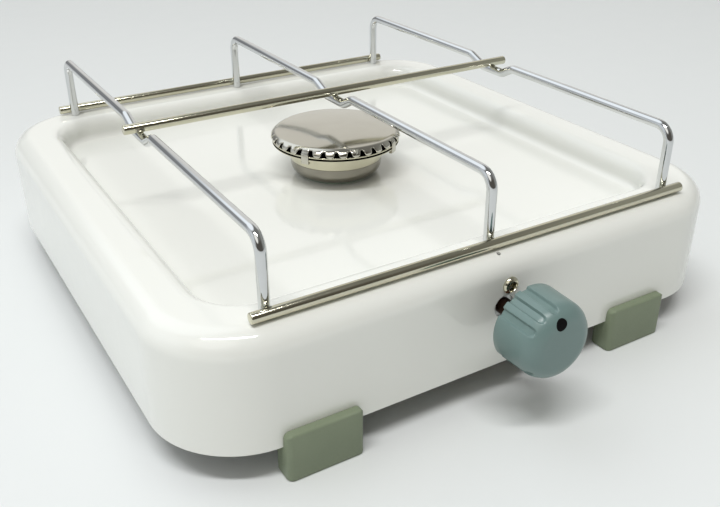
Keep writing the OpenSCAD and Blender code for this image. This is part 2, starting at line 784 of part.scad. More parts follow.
module valve_body() {
    body_l = barrel_end_y - barrel_y;
    ear_z = tap_z + cover_w / 2 + 0.2;
    color(brass)
        difference() {
            union() {
                along_y([0, barrel_y, tap_z]) linear_extrude(barrel_flange_t) cover_outline();
                along_y([0, barrel_y, tap_z]) cylinder(r = barrel_r, h = body_l);
                along_x([0, port_y, tap_z]) cylinder(r = boss_r, h = boss_l);
                translate([screw_x - screw_r - 3, cover_y, ear_z])
                    cube([2 * screw_r + 6, ear_t + cover_t, screw_z + screw_r + 1.6 - ear_z]);
                translate([screw_x - screw_r - 3, barrel_y, tap_z])
                    cube([2 * screw_r + 6, ear_t, ear_z + 1 - tap_z]);
            }
            along_y([0, barrel_y - 1, tap_z]) cylinder(r = chamber_r, h = chamber_l + 1);
            along_y([0, plug_y - eps, tap_z])
                cylinder(r1 = plug_r1 + run_play, r2 = plug_r2 + run_play, h = plug_l + eps);
            along_y([0, plug_end_y - eps, tap_z])
                cylinder(r = jet_thread_r + seat_play, h = barrel_end + 1);
            along_x([0, port_y, tap_z]) cylinder(r = port_r, h = boss_l);
            along_x([boss_l - pipe_seat, port_y, tap_z]) cylinder(r = pipe_r + seat_play, h = pipe_seat + 1);
            along_y([screw_x, cover_y - 1, screw_z]) cylinder(r = screw_r + seat_play, h = valve_screw_l + 1);
            for (s = [-1, 1])
                along_y([s * cover_screw_x, barrel_y - 1, tap_z])
                    cylinder(r = cover_screw_r + seat_play, h = cover_screw_l + 1.5);
        }
}

// Plug: a tapered cock with a driving slot in front, an outlet bore and two ports.
// Closed, the gas port points down; turned a quarter it meets the inlet, and at the end the small port does.
module plug_port(r, angle) {
    translate([0, port_y, tap_z]) rotate([0, 90 - angle, 0]) cylinder(r = r, h = plug_r1 + 1);
}

module valve_plug() {
    color(brass)
        difference() {
            along_y([0, plug_y, tap_z]) cylinder(r1 = plug_r1, r2 = plug_r2, h = plug_l);
            translate([-tongue_w / 2 - run_play, plug_y - 1, tap_z - plug_r1 - 1])
                cube([tongue_w + 2 * run_play, slot_l + 1, 2 * plug_r1 + 2]);
            along_y([0, port_y - port_r - 0.5, tap_z]) cylinder(r = port_r + 0.4, h = port_r + port_in + 1.5);
            plug_port(port_r, -90);
            plug_port(low_port_r, -turn_range);
        }
}

module valve_cover() {
    color(steel)
        difference() {
            along_y([0, cover_y, tap_z]) linear_extrude(cover_t) cover_outline();
            along_y([0, cover_y - 1, tap_z]) cylinder(r = spindle_r + run_play, h = cover_t + 2);
            for (s = [-1, 1]) {
                along_y([s * cover_screw_x, cover_y - 1, tap_z])
                    cylinder(r = cover_screw_r + seat_play, h = cover_t + 2);
                along_y([s * cover_screw_x, cover_y - eps, tap_z])
                    cylinder(r1 = cover_screw_head_r, r2 = cover_screw_r + seat_play, h = cover_screw_head_h);
            }
        }
}

module valve_cover_screws() {
    color(steel)
        for (s = [-1, 1])
            difference() {
                union() {
                    along_y([s * cover_screw_x, cover_y + seat_play, tap_z])
                        cylinder(r1 = cover_screw_head_r - seat_play, r2 = cover_screw_r,
                                 h = cover_screw_head_h);
                    along_y([s * cover_screw_x, cover_y + cover_screw_head_h, tap_z])
                        cylinder(r = cover_screw_r, h = cover_screw_l);
                }
                translate([s * cover_screw_x - 0.3, cover_y - 1, tap_z - 3]) cube([0.6, 1.7, 6]);
            }
}

// Fixing screw: a round head with a deep cross recess, in front of the wall over the knob.
module valve_screw() {
    color(chrome)
        difference() {
            union() {
                along_y([screw_x, wall_y - screw_head_h, screw_z])
                    rotate_extrude()
                        intersection() {
                            translate([0, screw_head_r]) circle(screw_head_r * 1.0);
                            square([screw_head_r, screw_head_h]);
                        }
                along_y([screw_x, wall_y, screw_z]) cylinder(r = screw_r, h = valve_screw_l - sheet_t);
            }
            along_y([screw_x, wall_y - screw_head_h - 1, screw_z])
                linear_extrude(screw_head_h + 0.6)
                    for (a = [0, 90])
                        rotate(a) square([screw_head_r * 1.1, screw_head_r * 0.36], center = true);
        }
}

// Spindle: slides in the cover, turns the plug with its tongue and carries the knob on its flat.
module spindle() {
    color(brass)
        difference() {
            union() {
                along_y([0, spindle_front_y, tap_z]) cylinder(r = spindle_r, h = collar_y - spindle_front_y);
                along_y([0, collar_y, tap_z]) cylinder(r = collar_r, h = collar_t);
                intersection() {
                    along_y([0, spring_y, tap_z])
                        cylinder(r = tongue_r, h = plug_y + tongue_l - spring_y);
                    translate([-tongue_w / 2, spring_y, tap_z - plug_r1])
                        cube([tongue_w, plug_y + tongue_l - spring_y, 2 * plug_r1]);
                }
            }
            along_y([0, spindle_front_y - 1, tap_z])
                rotate(-dot_turn)
                    translate([-spindle_r, -spindle_r - 1 - spindle_flat, 0])
                        cube([2 * spindle_r, spindle_r + 1, knob_y + 1 - spindle_front_y]);
        }
}

// Spindle spring: one wire, wound between the collar and the plug.
spring_mean_r = collar_r - spring_d / 2 - 0.1;
tongue_r = spring_mean_r - spring_d / 2 - 0.3;
spring_l = plug_y - spring_y - spring_d - 2 * run_play;
spring_sides = 6;
spring_rings = 12;

function spring_point(a) =
    [spring_mean_r * cos(a), spring_mean_r * sin(a), spring_l * a / (360 * spring_turns)];

function spring_ring(a) = [
    for (k = [0 : spring_sides - 1])
        let (b = 360 * k / spring_sides, w = spring_d / 2)
            [(spring_mean_r + w * cos(b)) * cos(a), (spring_mean_r + w * cos(b)) * sin(a),
             spring_l * a / (360 * spring_turns) + w * sin(b)]
];

module spindle_spring() {
    count = spring_rings * spring_turns;
    points = [for (i = [0 : count]) each spring_ring(360 * spring_turns * i / count)];
    n = spring_sides;
    sides = [
        for (i = [0 : count - 1], k = [0 : n - 1])
            each [
                [i * n + k, i * n + (k + 1) % n, (i + 1) * n + k],
                [i * n + (k + 1) % n, (i + 1) * n + (k + 1) % n, (i + 1) * n + k]
            ]
    ];
    first_end = [for (k = [1 : n - 2]) [0, k + 1, k]];
    last_end = [for (k = [1 : n - 2]) [count * n, count * n + k, count * n + k + 1]];
    color(steel)
        along_y([0, spring_y + run_play + spring_d / 2, tap_z])
            polyhedron(points, concat(sides, first_end, last_end));
}

// Knob: a moulded shell with a hub, a domed front and grip grooves.
module knob_profile() {
    intersection() {
        union() {
            polygon([[0, 0], [knob_r, 0], [knob_front_r, knob_l - knob_round], [0, knob_l - knob_round]]);
            translate([0, knob_l - knob_round]) square([knob_front_r - knob_round, knob_round]);
            translate([knob_front_r - knob_round, knob_l - knob_round])
                quarter_disc(knob_round, 1, 1, $fn = 160);
        }
        translate([0, knob_l - dome_ball_r]) circle(dome_ball_r, $fn = 720);
        square([knob_r, knob_l]);
    }
}

module knob_solid() {
    translate([0, knob_y, tap_z]) rotate([90, 0, 0]) rotate_extrude($fn = 96) knob_profile();
}

module groove_cut(angle) {
    translate([0, knob_y, tap_z])
        rotate([90, 0, 0])
            rotate(90 + angle)
                translate([knob_r + groove_r - groove_in, 0, -1]) {
                    cylinder(r = groove_r, h = knob_l - groove_end + 1 - groove_r);
                    translate([0, 0, knob_l - groove_end + 1 - groove_r]) sphere(groove_r);
                }
}

module dot_pin(r, depth) {
    translate([0, 0, tap_z])
        rotate([0, -dot_turn, 0])
            along_y([0, knob_front_y - 1, dot_off]) cylinder(r = r, h = depth + 1);
}

module knob() {
    color(teal)
        difference() {
            knob_solid();
            along_y([0, knob_front_y + knob_floor, tap_z])
                difference() {
                    cylinder(r = knob_front_r - knob_wall, h = knob_l);
                    translate([0, 0, -1]) cylinder(r = hub_r, h = knob_l);
                }
            difference() {
                along_y([0, spindle_front_y - 1, tap_z]) cylinder(r = spindle_r + seat_play, h = knob_l);
                along_y([0, spindle_front_y - 2, tap_z])
                    rotate(-dot_turn)
                        translate([-spindle_r - 1, -spindle_r - 2 - spindle_flat - seat_play, 0])
                            cube([2 * spindle_r + 2, spindle_r + 2, knob_l]);
            }
            for (g = [0 : groove_groups - 1], i = [0 : grooves - 1])
                groove_cut(dot_turn + i * groove_step + g * 360 / groove_groups);
            dot_pin(dot_r + seat_play / 2, dot_in);
        }
}

module knob_dot() {
    color(black)
        intersection() {
            knob_solid();
            dot_pin(dot_r, dot_in);
        }
}

// Gas pipe: from the tap's boss to the right, then back to the hose nozzle.
module pipe_section() {
    difference() {
        circle(pipe_r);
        circle(pipe_bore_r);
    }
}

module gas_pipe() {
    start_x = boss_l - pipe_seat;
    end_y = nozzle_in_y + pipe_seat;
    bend_x = inlet_x - pipe_bend_r;
    bend_y = port_y + pipe_bend_r;
    color(copper) {
        along_x([start_x, port_y, tap_z]) linear_extrude(bend_x - start_x) pipe_section();
        translate([bend_x, bend_y, tap_z])
            rotate(-90) rotate_extrude(angle = 90) translate([pipe_bend_r, 0]) pipe_section();
        along_y([inlet_x, bend_y, tap_z]) linear_extrude(end_y - bend_y) pipe_section();
    }
}

// A union nut along +Z: the wide bore goes over the boss, the narrow one over the pipe.
module pipe_nut() {
    color(brass)
        difference() {
            hexagon(pipe_nut_af, pipe_nut_l);
            translate([0, 0, -1]) cylinder(r = boss_r + seat_play, h = pipe_nut_l - pipe_nut_end + 1);
            cylinder(r = pipe_r + seat_play, h = pipe_nut_l + 1);
        }
}

module pipe_nut_front() {
    along_x([boss_l - nut_reach, port_y, tap_z]) pipe_nut();
}

module pipe_nut_rear() {
    translate([inlet_x, nozzle_in_y + nut_reach, tap_z]) rotate([90, 0, 0]) pipe_nut();
}

// Sealing rings between each boss and its nut.
module olive() {
    difference() {
        cylinder(r = olive_r, h = 1 - seat_play / 2);
        translate([0, 0, -1]) cylinder(r = pipe_r + seat_play, h = 3);
    }
}

module pipe_olives() {
    color(brass) {
        along_x([boss_l, port_y, tap_z]) olive();
        translate([inlet_x, nozzle_in_y, tap_z]) rotate([90, 0, 0]) olive();
    }
}

// Hose nozzle: a stem for the gas hose outside the rear wall, a thread inside it.
module hose_nozzle() {
    hex_y = rear_y + washer_t;
    color(brass)
        difference() {
            union() {
                along_y([inlet_x, nozzle_in_y, tap_z]) cylinder(r = boss_r, h = hex_y - nozzle_in_y);
                along_y([inlet_x, hex_y, tap_z]) hexagon(nozzle_af, nozzle_hex_t);
                along_y([inlet_x, hex_y + nozzle_hex_t, tap_z]) cylinder(r = stem_r, h = stem_l);
            }
            along_y([inlet_x, nozzle_in_y - 1, tap_z])
                cylinder(r = pipe_bore_r, h = hex_y - nozzle_in_y + nozzle_hex_t + stem_l + 2);
            along_y([inlet_x, nozzle_in_y - 1, tap_z]) cylinder(r = pipe_r + seat_play, h = pipe_seat + 1);
            for (i = [1 : stem_grooves])
                along_y([inlet_x, hex_y + nozzle_hex_t + stem_l - i * 4, tap_z])
                    difference() {
                        cylinder(r = stem_r + 1, h = stem_groove_l);
                        translate([0, 0, -1]) cylinder(r = stem_r - stem_groove_in, h = stem_groove_l + 2);
                    }
        }
}

module nozzle_locknut() {
    color(brass)
        along_y([inlet_x, rear_y - sheet_t - locknut_t, tap_z])
            difference() {
                hexagon(nozzle_af, locknut_t);
                translate([0, 0, -1]) cylinder(r = boss_r + seat_play, h = locknut_t + 2);
            }
}

module nozzle_washer() {
    color(steel)
        along_y([inlet_x, rear_y, tap_z])
            difference() {
                cylinder(r = washer_r, h = washer_t);
                translate([0, 0, -1]) cylinder(r = boss_r + seat_play, h = washer_t + 2);
            }
}

casing();
front_left_foot();
front_right_foot();
rear_left_foot();
rear_right_foot();
grid_wire_left();
grid_wire_middle();
grid_wire_right();
grid_rod_front();
grid_rod_middle();
grid_rod_rear();
burner_cap();
burner_cup();
burner_seal();
burner_nut();
burner_elbow();
mixing_tube();
injector();
valve_body();
valve_plug();
valve_cover();
valve_cover_screws();
valve_screw();
spindle();
spindle_spring();
knob();
knob_dot();
gas_pipe();
pipe_nut_front();
pipe_nut_rear();
pipe_olives();
hose_nozzle();
nozzle_locknut();
nozzle_washer();
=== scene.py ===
# %% [markdown]
# # A single burner gas stove
# The stove is a pressed steel casing under white enamel, on four moulded feet, with a chromed wire
# support for one pan, a bright steel burner and a tap with a moulded knob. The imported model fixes
# where every piece is and how it moves. This file gives each piece its finer shape and its finish.

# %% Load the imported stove
import math
import bmesh
import bpy
from mathutils import Matrix, Vector


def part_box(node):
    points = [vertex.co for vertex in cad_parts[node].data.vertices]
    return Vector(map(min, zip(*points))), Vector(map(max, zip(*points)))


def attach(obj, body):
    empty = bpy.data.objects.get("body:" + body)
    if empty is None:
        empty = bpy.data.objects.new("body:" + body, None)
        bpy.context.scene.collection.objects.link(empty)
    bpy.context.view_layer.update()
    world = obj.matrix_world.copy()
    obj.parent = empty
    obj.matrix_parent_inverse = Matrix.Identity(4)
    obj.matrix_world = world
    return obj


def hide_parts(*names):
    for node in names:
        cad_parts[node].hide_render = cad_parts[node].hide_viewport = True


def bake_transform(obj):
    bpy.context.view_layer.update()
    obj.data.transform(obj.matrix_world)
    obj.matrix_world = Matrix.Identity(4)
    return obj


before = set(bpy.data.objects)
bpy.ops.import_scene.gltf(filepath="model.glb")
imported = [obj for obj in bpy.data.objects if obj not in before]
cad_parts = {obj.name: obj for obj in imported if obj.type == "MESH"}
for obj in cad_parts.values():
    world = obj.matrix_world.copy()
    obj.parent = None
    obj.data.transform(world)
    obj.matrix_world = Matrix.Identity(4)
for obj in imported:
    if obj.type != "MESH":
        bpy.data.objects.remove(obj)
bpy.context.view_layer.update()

scene = bpy.context.scene
scene.view_settings.view_transform = "Standard"

# %% [markdown]
# ## The camera
# A camera is a lens and a place. The stove is seen from above its left front corner, so the camera
# is turned to the right and tipped down. Three turns multiplied in order give its pose: the heading
# about Z, the tilt about the camera's own X, and a slight roll about its line of sight.

# %% Stand the camera
camera = bpy.data.objects.new("camera", bpy.data.cameras.new("camera"))
camera.data.sensor_width = 36
camera.data.lens = 42.883
heading, tilt, roll = math.radians(-31.150), math.radians(90 - 28.316), math.radians(-0.157)
camera.matrix_world = (
    Matrix.Translation((-0.22814, -0.40407, 0.25452))
    @ Matrix.Rotation(heading, 4, "Z") @ Matrix.Rotation(tilt, 4, "X") @ Matrix.Rotation(roll, 4, "Z")
)
scene.collection.objects.link(camera)
scene.camera = camera
print("camera stands at", [round(v, 3) for v in camera.location])

# %% [markdown]
# ## Shared surface patterns
# No real surface is one flat colour. Three effects come back, so each is a node group with named
# sockets: cloudy unevenness with a fine grain, the fine rings that spinning or turning leaves round
# an axis, and a mask for one zone of a round piece, with which the cup gets painted shade. A group
# only puts out values; each material decides what they do.

# %% Build the unevenness group
def new_group(name, inputs, outputs):
    """Makes an empty shader group with float sockets."""
    tree = bpy.data.node_groups.new(name, "ShaderNodeTree")
    for label, value in inputs:
        socket = tree.interface.new_socket(label, in_out="INPUT", socket_type="NodeSocketFloat")
        socket.default_value = value
    for label in outputs:
        tree.interface.new_socket(label, in_out="OUTPUT", socket_type="NodeSocketFloat")
    return tree, tree.nodes.new("NodeGroupInput"), tree.nodes.new("NodeGroupOutput")


def noise_at(tree, place, scale, detail):
    """Adds a noise texture that reads a place, at the scale that a socket gives."""
    node = tree.nodes.new("ShaderNodeTexNoise")
    node.inputs["Detail"].default_value = detail
    tree.links.new(place, node.inputs["Vector"])
    tree.links.new(scale, node.inputs["Scale"])
    return node.outputs["Fac"]


uneven, entry, leave = new_group(
    "surface_unevenness", [("Cloud Scale", 20.0), ("Grain Scale", 400.0)], ["Cloud", "Grain"])
place = uneven.nodes.new("ShaderNodeTexCoord").outputs["Object"]
for label, detail in (("Cloud", 3), ("Grain", 2)):
    noise = noise_at(uneven, place, entry.outputs[label + " Scale"], detail)
    uneven.links.new(noise, leave.inputs[label])
print("group", uneven.name, "with", [s.name for s in uneven.interface.items_tree])

# %% Build the turning marks group
def round_axis(tree):
    """Gives a point's distance from the upright axis and its height."""
    place = tree.nodes.new("ShaderNodeTexCoord").outputs["Object"]
    flat = tree.nodes.new("ShaderNodeVectorMath")
    flat.operation = "MULTIPLY"
    flat.inputs[1].default_value = (1, 1, 0)
    radius = tree.nodes.new("ShaderNodeVectorMath")
    radius.operation = "LENGTH"
    split = tree.nodes.new("ShaderNodeSeparateXYZ")
    tree.links.new(place, flat.inputs[0])
    tree.links.new(flat.outputs["Vector"], radius.inputs[0])
    tree.links.new(place, split.inputs["Vector"])
    return radius.outputs["Value"], split.outputs["Z"]


turned, entry, leave = new_group("turning_marks", [("Ring Scale", 900.0)], ["Rings"])
rings = turned.nodes.new("ShaderNodeTexNoise")
rings.noise_dimensions = "1D"
rings.inputs["Detail"].default_value = 4
turned.links.new(round_axis(turned)[0], rings.inputs["W"])
turned.links.new(entry.outputs["Ring Scale"], rings.inputs["Scale"])
turned.links.new(rings.outputs["Fac"], leave.inputs["Rings"])
print("group", turned.name, "with", [s.name for s in turned.interface.items_tree])

# %% Build the zone mask group
def combine(tree, operation, first, second):
    """Adds a math node that joins two values."""
    node = tree.nodes.new("ShaderNodeMath")
    node.operation = operation
    tree.links.new(first, node.inputs[0])
    tree.links.new(second, node.inputs[1])
    return node.outputs["Value"]


zone, entry, leave = new_group("zone_mask", [("Reach", 1.0), ("Bottom", 0.0), ("Top", 1.0)], ["Mask"])
away, height = round_axis(zone)
near = combine(zone, "LESS_THAN", away, entry.outputs["Reach"])
above = combine(zone, "GREATER_THAN", height, entry.outputs["Bottom"])
below = combine(zone, "LESS_THAN", height, entry.outputs["Top"])
between = combine(zone, "MULTIPLY", above, below)
zone.links.new(combine(zone, "MULTIPLY", near, between), leave.inputs["Mask"])
print("group", zone.name, "with", [s.name for s in zone.interface.items_tree])

# %% [markdown]
# ## The finishes
# Every finish is a Principled shader. What is the same all over, such as metalness or a clear coat,
# is set on the shader itself. What varies comes from the groups: the cloud shifts the colour a
# little between two tones, and the grain, or the rings on a turned piece, shifts the roughness and
# raises a faint bump. A zone of a turned piece can take a colour of its own, used for painted shade.

# %% Write the finish helper
def placed(tree, group, **values):
    """Places a shared group in a material, with input values of its own."""
    node = tree.nodes.new("ShaderNodeGroup")
    node.node_tree = group
    for label, value in values.items():
        node.inputs[label.replace("_", " ")].default_value = value
    return node


def mixed(tree, factor, first, second):
    """Mixes two colours, each of them plain or from another node."""
    mix = tree.nodes.new("ShaderNodeMix")
    mix.data_type = "RGBA"
    for label, colour in (("A", first), ("B", second)):
        if isinstance(colour, tuple):
            mix.inputs[label].default_value = (*colour, 1)
        else:
            tree.links.new(colour, mix.inputs[label])
    tree.links.new(factor, mix.inputs["Factor"])
    return mix.outputs["Result"]


def finish(name, dark, light, rough, clouds, grains, bump, rings=None, zones=(), **plain):
    """A material with two tones, a roughness range and a relief; plain values go on the shader."""
    skin = bpy.data.materials.new(name)
    skin.use_nodes = True
    tree = skin.node_tree
    shader = tree.nodes["Principled BSDF"]
    for socket, value in plain.items():
        shader.inputs[socket.replace("_", " ")].default_value = value
    pattern = placed(tree, uneven, Cloud_Scale=clouds, Grain_Scale=grains)
    tone = mixed(tree, pattern.outputs["Cloud"], dark, light)
    for (reach, bottom, top), stain in zones:
        mask = placed(tree, zone, Reach=reach, Bottom=bottom, Top=top)
        tone = mixed(tree, mask.outputs["Mask"], tone, stain)
    fine = pattern.outputs["Grain"]
    if rings:
        fine = placed(tree, turned, Ring_Scale=rings).outputs["Rings"]
    gloss = tree.nodes.new("ShaderNodeMapRange")
    for label, value in (("From Min", 0.3), ("From Max", 0.7), ("To Min", rough[0]), ("To Max", rough[1])):
        gloss.inputs[label].default_value = value
    relief = tree.nodes.new("ShaderNodeBump")
    relief.inputs["Strength"].default_value, relief.inputs["Distance"].default_value = bump
    tree.links.new(fine, gloss.inputs["Value"])
    tree.links.new(fine, relief.inputs["Height"])
    tree.links.new(tone, shader.inputs["Base Color"])
    tree.links.new(gloss.outputs["Result"], shader.inputs["Roughness"])
    tree.links.new(relief.outputs["Normal"], shader.inputs["Normal"])
    return skin

# %% Mix the enamel and the bright metals
enamel = finish("enamel", (0.83, 0.838, 0.79), (0.87, 0.877, 0.83), (0.07, 0.12), 9, 130,
                (0.04, 0.0005), Coat_Weight=0.3, Coat_Roughness=0.04)
chrome = finish("chrome", (0.60, 0.61, 0.615), (0.70, 0.71, 0.715), (0.03, 0.07), 60, 900,
                (0.02, 0.0002), Metallic=1.0)
# painted reflection: the rods' chrome is darker and olive, standing in for the dim room they mirror; the
# screw shares it.
rod_chrome = finish("rod_chrome", (0.54, 0.525, 0.41), (0.67, 0.64, 0.505), (0.10, 0.18), 60, 900,
                    (0.02, 0.0002), Metallic=1.0)
burner_steel = finish("burner_steel", (0.52, 0.50, 0.44), (0.62, 0.60, 0.535), (0.10, 0.15), 45, 900,
                      (0.012, 0.0001), rings=1500, Metallic=1.0)
# A zone is its reach from the axis, its bottom and its top in metres, and then its colour.
# painted shade: the flange's top under the cap and the inside of its open fold are painted near black.
painted_shade_under_cap = ((0.0358, 0.0796, 1.0), (0.012, 0.011, 0.010))
# painted shade: the cup's wall below its step is painted darker, for the shaded tray that it mirrors.
painted_shade_low_band = ((1.0, 0.0, 0.0702), (0.30, 0.285, 0.245))
cup_steel = finish("cup_steel", (0.55, 0.52, 0.395), (0.66, 0.635, 0.505), (0.13, 0.20), 45, 900,
                   (0.012, 0.0001), rings=1500, zones=(painted_shade_under_cap, painted_shade_low_band), Metallic=1.0)
print("bright finishes:", len(bpy.data.materials))

# %% Mix the plastics and the plainer metals
knob_plastic = finish("knob_plastic", (0.147, 0.222, 0.211), (0.169, 0.250, 0.238), (0.28, 0.38), 60, 1800,
                      (0.06, 0.0002), Specular_IOR_Level=0.55)
foot_plastic = finish("foot_plastic", (0.19, 0.228, 0.148), (0.223, 0.266, 0.176), (0.42, 0.58), 70, 1500,
                      (0.10, 0.0003))
dot_plastic = finish("dot_plastic", (0.004, 0.004, 0.004), (0.009, 0.008, 0.008), (0.6, 0.8), 200, 2500,
                     (0.1, 0.0002), Specular_IOR_Level=0.05)
brass = finish("brass", (0.52, 0.36, 0.13), (0.68, 0.49, 0.20), (0.18, 0.36), 90, 1200,
               (0.06, 0.0003), Metallic=1.0)
# painted shade: the spindle is brass painted nearly black, for the shade in the hole between knob and wall.
shaded_brass = finish("shaded_brass", (0.028, 0.015, 0.010), (0.055, 0.030, 0.020), (0.30, 0.45), 90, 1200,
                (0.06, 0.0003), Metallic=1.0)
copper = finish("copper", (0.50, 0.23, 0.13), (0.70, 0.36, 0.22), (0.20, 0.42), 70, 900,
                (0.05, 0.0003), Metallic=1.0)
cast_alloy = finish("cast_alloy", (0.40, 0.40, 0.41), (0.56, 0.56, 0.57), (0.34, 0.58), 80, 1400,
                    (0.22, 0.0004), Metallic=1.0)
tube_steel = finish("tube_steel", (0.46, 0.47, 0.47), (0.62, 0.62, 0.60), (0.22, 0.42), 60, 1000,
                    (0.06, 0.0003), Metallic=1.0)
seal_fibre = finish("seal_fibre", (0.36, 0.45, 0.36), (0.46, 0.55, 0.45), (0.5, 0.7), 250, 2600,
                    (0.2, 0.0003))
print("all finishes:", len(bpy.data.materials))

# %% [markdown]
# ## Helpers for shaping
# Every piece is drawn in millimetres, as on a workshop drawing, and scaled to metres at the end.
# Two moves do most of the work. Extruding a line or a ring and sliding the copy makes a straight
# run; spinning it about an axis makes a bend, a corner or a turned shape. Rounding an edge is a
# bevel, and its settings stay the same everywhere, so it has a helper too.

# %% Write run, turn and ease
def only(kind, geometry):
    """Picks the vertices or the edges out of mixed geometry."""
    return [g for g in geometry if isinstance(g, kind)]


def edges_at(verts):
    """All edges that meet at some vertices, each of them once."""
    return list(dict.fromkeys(e for v in verts for e in v.link_edges))


def run(bm, chain, move):
    """Extrudes vertices, or edges if there are any, slides the copies and gives them back."""
    edges = only(bmesh.types.BMEdge, chain)
    if edges:
        made = bmesh.ops.extrude_edge_only(bm, edges=edges)["geom"]
    else:
        made = bmesh.ops.extrude_vert_indiv(bm, verts=chain)["verts"]
    ends = only(bmesh.types.BMVert, made)
    bmesh.ops.translate(bm, vec=Vector(move), verts=ends)
    return ends + only(bmesh.types.BMEdge, made)


def turn(bm, chain, about, axis, degrees, steps):
    """Spins vertices or edges about an axis and gives the last copies back."""
    return bmesh.ops.spin(bm, geom=chain, cent=Vector(about), axis=Vector(axis),
                          angle=math.radians(degrees), steps=steps)["geom_last"]


def ease(bm, geometry, offset, segments, affect="EDGES"):
    """Rounds edges, or the corners of a flat outline."""
    bmesh.ops.bevel(bm, geom=geometry, offset=offset, segments=segments, profile=0.5,
                    affect=affect, material=-1)


def turn_about_z(bm, angle):
    """Turns everything about the upright axis through the origin."""
    bmesh.ops.rotate(bm, cent=Vector(), matrix=Matrix.Rotation(angle, 3, "Z"), verts=bm.verts)


def face_outwards(bm):
    """Makes the faces of an open, upright shell agree, with the upper side out."""
    bmesh.ops.recalc_face_normals(bm, faces=bm.faces)
    if sum(f.normal.z * f.calc_area() for f in bm.faces) < 0:
        bmesh.ops.reverse_faces(bm, faces=bm.faces)

# %% Write finished, settle and carve
MM = 0.001


def crease(bm, degrees):
    """Shades faces smooth, and keeps edges sharper than the given angle crisp."""
    for face in bm.faces:
        face.smooth = True
    for edge in bm.edges:
        edge.smooth = edge.calc_face_angle(0) < math.radians(degrees)


def to_metres(bm):
    """Scales a drawing in millimetres to metres."""
    bmesh.ops.scale(bm, vec=Vector((MM, MM, MM)), verts=bm.verts)


def object_of(bm, name):
    """Puts a bmesh into the scene as an object at the origin."""
    mesh = bpy.data.meshes.new(name)
    bm.to_mesh(mesh)
    bm.free()
    made = bpy.data.objects.new(name, mesh)
    scene.collection.objects.link(made)
    return made


def finished(bm, name, body, skin, nodes, degrees=35):
    """Makes the drawing a piece that rides on its body, if it has one, in place of its nodes."""
    to_metres(bm)
    crease(bm, degrees)
    piece = object_of(bm, name)
    piece.data.materials.append(skin)
    if body:
        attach(piece, body)
    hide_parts(*nodes)
    print(name, "has", len(piece.data.polygons), "faces")
    return piece


def settle(piece, degrees=35):
    """Applies a piece's modifiers to its mesh and creases it again."""
    made = bpy.data.meshes.new_from_object(piece.evaluated_get(bpy.context.evaluated_depsgraph_get()))
    piece.modifiers.clear()
    piece.data = made
    bm = bmesh.new()
    bm.from_mesh(made)
    crease(bm, degrees)
    bm.to_mesh(made)
    bm.free()


def carve(piece, bm, operation="DIFFERENCE", degrees=35):
    """Cuts a bmesh, drawn in millimetres, out of a piece, or keeps only what lies inside it."""
    to_metres(bm)
    cutter = object_of(bm, "cutter")
    cut = piece.modifiers.new("carve", "BOOLEAN")
    cut.operation = operation
    cut.solver = "EXACT"
    cut.object = cutter
    settle(piece, degrees)
    bpy.data.objects.remove(cutter)


def rod_cutter(bm, at, axis, radius, depth, segments=48):
    """Adds a round cutter with its middle at a point."""
    along = Vector(axis).to_track_quat("Z", "Y").to_matrix().to_4x4()
    bmesh.ops.create_cone(bm, cap_ends=True, segments=segments, radius1=radius, radius2=radius,
                          depth=depth, matrix=Matrix.Translation(at) @ along)


across, upward = (0, 1, 0), (0, 0, 1)
print("helpers ready, drawing in units of", MM, "m")

# %% [markdown]
# ## The casing
# On the real stove one steel blank is drawn into walls, a rounded rim and a shallow tray, and then
# enamelled. It could be a bevelled box, but the rim's two edges follow different corner radii, so a
# sweep is truer: two short profiles are taken from the middle of the front round the corner to the
# middle of the side, mirrored twice, and the flat rim and floor are bridged between their loops.

# %% Draw the two profiles of the casing
low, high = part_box("casing")
half_w, half_d = high.x * 1000, high.y * 1000
wall_foot, rim = low.z * 1000, high.z * 1000
edge_round, lip_round, floor_round = 11, 7, 4
strip, lip_in = 2, 21
tray_z = rim - lip_round - strip - floor_round


def wall_line(bm):
    """The wall from its bottom edge up, over the rim's outer rounding."""
    straight = rim - edge_round - strip - wall_foot
    tip = run(bm, [bm.verts.new((0, -half_d, wall_foot))], (0, 0, straight))
    tip = run(bm, tip, (0, 0, strip))
    tip = turn(bm, tip, (0, edge_round - half_d, rim - edge_round), (1, 0, 0), -90, 14)
    run(bm, tip, (0, 1, 0))
    return bm.edges[:]


def tray_line(bm):
    """The rim's inner lip, the tray's wall and the fillet down to its floor."""
    old = set(bm.edges)
    tip = run(bm, [bm.verts.new((0, lip_in - 1 - half_d, rim))], (0, 1, 0))
    tip = turn(bm, tip, (0, lip_in - half_d, rim - lip_round), (1, 0, 0), -90, 10)
    tip = run(bm, tip, (0, 0, -strip))
    fillet_in = lip_in + lip_round + floor_round
    tip = turn(bm, tip, (0, fillet_in - half_d, tray_z + floor_round), (1, 0, 0), 90, 8)
    run(bm, tip, (0, 3, 0))
    return [edge for edge in bm.edges if edge not in old]


def quarter(bm, line, corner_in):
    """Takes a profile along the front, round one corner and to the middle of the side."""
    corner_x, corner_y = half_w - corner_in, half_d - corner_in
    seam_strip = 4
    line = run(bm, line, (seam_strip, 0, 0))
    line = run(bm, line, (corner_x - seam_strip, 0, 0))
    line = turn(bm, line, (corner_x, -corner_y, 0), upward, 90, 24)
    run(bm, line, (0, corner_y, 0))


print("casing is", round(2 * half_w, 1), "by", round(2 * half_d, 1), "mm, its rim at", round(rim, 1))

